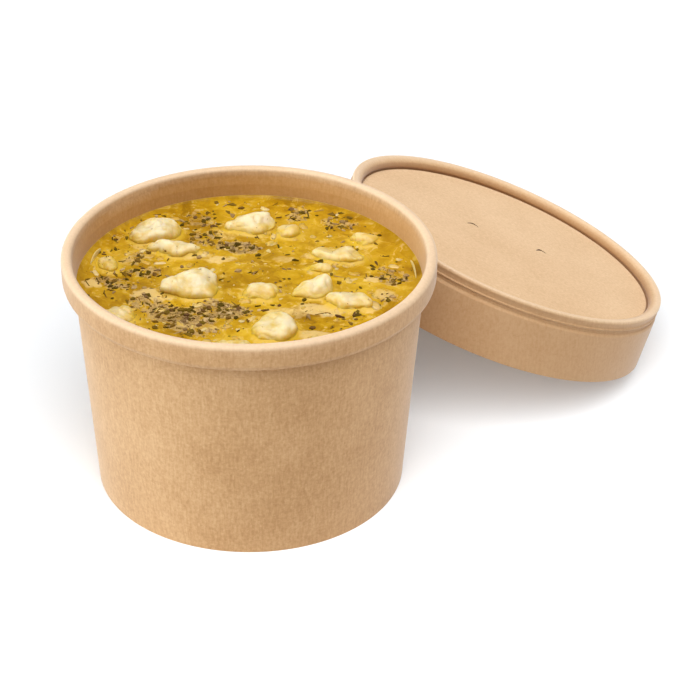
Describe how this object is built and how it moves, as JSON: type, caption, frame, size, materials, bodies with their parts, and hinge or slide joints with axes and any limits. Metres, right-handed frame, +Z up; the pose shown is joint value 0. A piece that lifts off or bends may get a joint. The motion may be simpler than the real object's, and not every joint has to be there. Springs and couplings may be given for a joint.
{
  "type": "takeaway soup container",
  "caption": "Round paper takeaway cup with a rolled rim, filled with chunky herb soup, and its recessed vented lid leaning against the wall.",
  "frame": {"origin": "on the floor under the middle of the bounding box of the cup and the leaning lid", "axes": "+Z up, -Y towards the viewer of the picture, +X from the cup towards the low edge of the lid"},
  "size_m": [0.1942, 0.1906, 0.0786],
  "materials": {
    "cup_paper": "uncoated brown kraft paper, fine fibres",
    "lid_paper": "uncoated brown kraft paper, fine fibres",
    "soup": "golden, slightly oily broth with dark green herb flecks",
    "chunk": "pale wet cooked pieces",
    "strip": "thin pale wet strips"
  },
  "bodies": {
    "root": {"cup": "cup_paper", "lid": "lid_paper", "soup": "soup", "chunk_back_left": "chunk", "chunk_back_left_low": "chunk", "chunk_back": "chunk", "chunk_back_small": "chunk", "chunk_left": "chunk", "chunk_middle_left": "chunk", "chunk_middle": "chunk", "chunk_right_peak": "chunk", "chunk_right": "chunk", "chunk_back_right": "chunk", "chunk_back_right_small": "chunk", "chunk_right_low": "chunk", "chunk_front": "chunk", "chunk_front_left": "chunk", "chunk_left_front": "chunk", "strip_left": "strip", "strip_right": "strip"}
  },
  "joints": []
}
